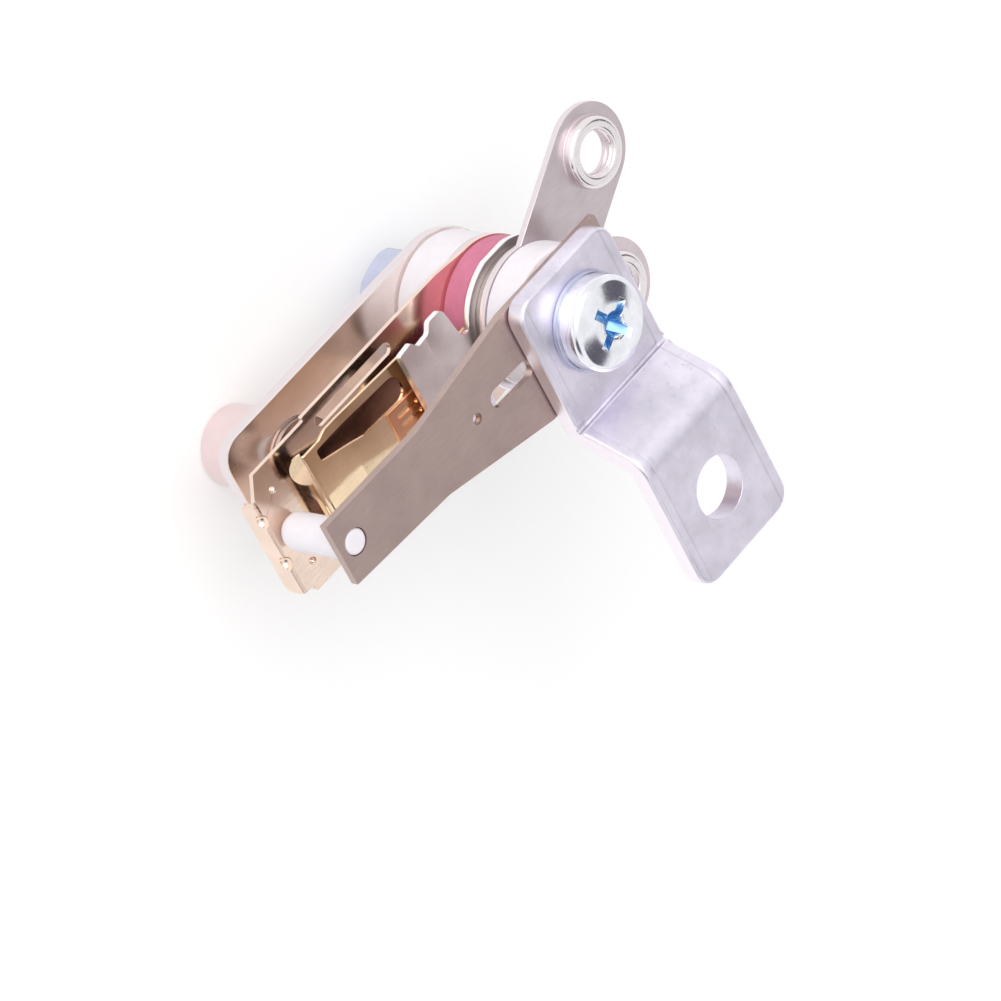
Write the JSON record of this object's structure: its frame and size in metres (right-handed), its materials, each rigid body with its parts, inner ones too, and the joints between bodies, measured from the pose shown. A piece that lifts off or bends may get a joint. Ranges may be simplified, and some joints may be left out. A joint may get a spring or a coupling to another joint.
{
  "type": "bimetal thermostat",
  "caption": "Open bimetal thermostat: ceramic rings and sheet-metal leaves clamped in a stack, an offset mounting foot, solder-free screw lugs and an adjusting spindle.",
  "frame": {"origin": "centre of the mounting foot's hole, on the foot's mounting face", "axes": "+Z out of the mounting face, +X along the leaves towards their free ends, +Y from the stack to the foot"},
  "size_m": [0.0494, 0.0375, 0.0332],
  "materials": {
    "aluminium_strip": "satin, with die marks",
    "zinc_plate": "bright zinc",
    "bimetal": "satin, rolled",
    "nickel_plate": "satin nickel",
    "plated_frame": "polished nickel",
    "spring_strip": "polished spring strip",
    "copper_strip": "bright copper alloy",
    "contact_silver": "silver",
    "white_ceramic": "fine matt",
    "pink_ceramic": "fine matt",
    "dark_steel": "oxidised"
  },
  "bodies": {
    "stack": {"mounting_foot": "aluminium_strip", "clamp_screw": "zinc_plate", "head_washer": "zinc_plate", "clamp_nut": "zinc_plate", "spring_washer": "zinc_plate", "nut_washer": "zinc_plate", "bimetal_strip": "bimetal", "push_pin": "white_ceramic", "front_ring": "white_ceramic", "middle_ring": "pink_ceramic", "rear_ring": "white_ceramic", "insulating_sleeve": "white_ceramic", "line_terminal": "nickel_plate", "load_terminal": "nickel_plate", "spacer_washer": "dark_steel", "leaf_holder": "nickel_plate", "backing_leaf": "copper_strip", "contact_leaf": "spring_strip", "moving_contact": "contact_silver", "fixed_contact": "contact_silver", "carrier_arm": "plated_frame", "frame_plate": "plated_frame", "spindle_bush": "nickel_plate"},
    "spindle": {"adjusting_spindle": "nickel_plate", "spindle_tip": "white_ceramic"}
  },
  "joints": [
    {"name": "spindle_turn", "type": "hinge", "parent": "stack", "child": "spindle", "pos_m": [0.0214, -0.0184, -0.03], "axis": [0, 0, 1], "range_deg": [-150, 150]}
  ]
}
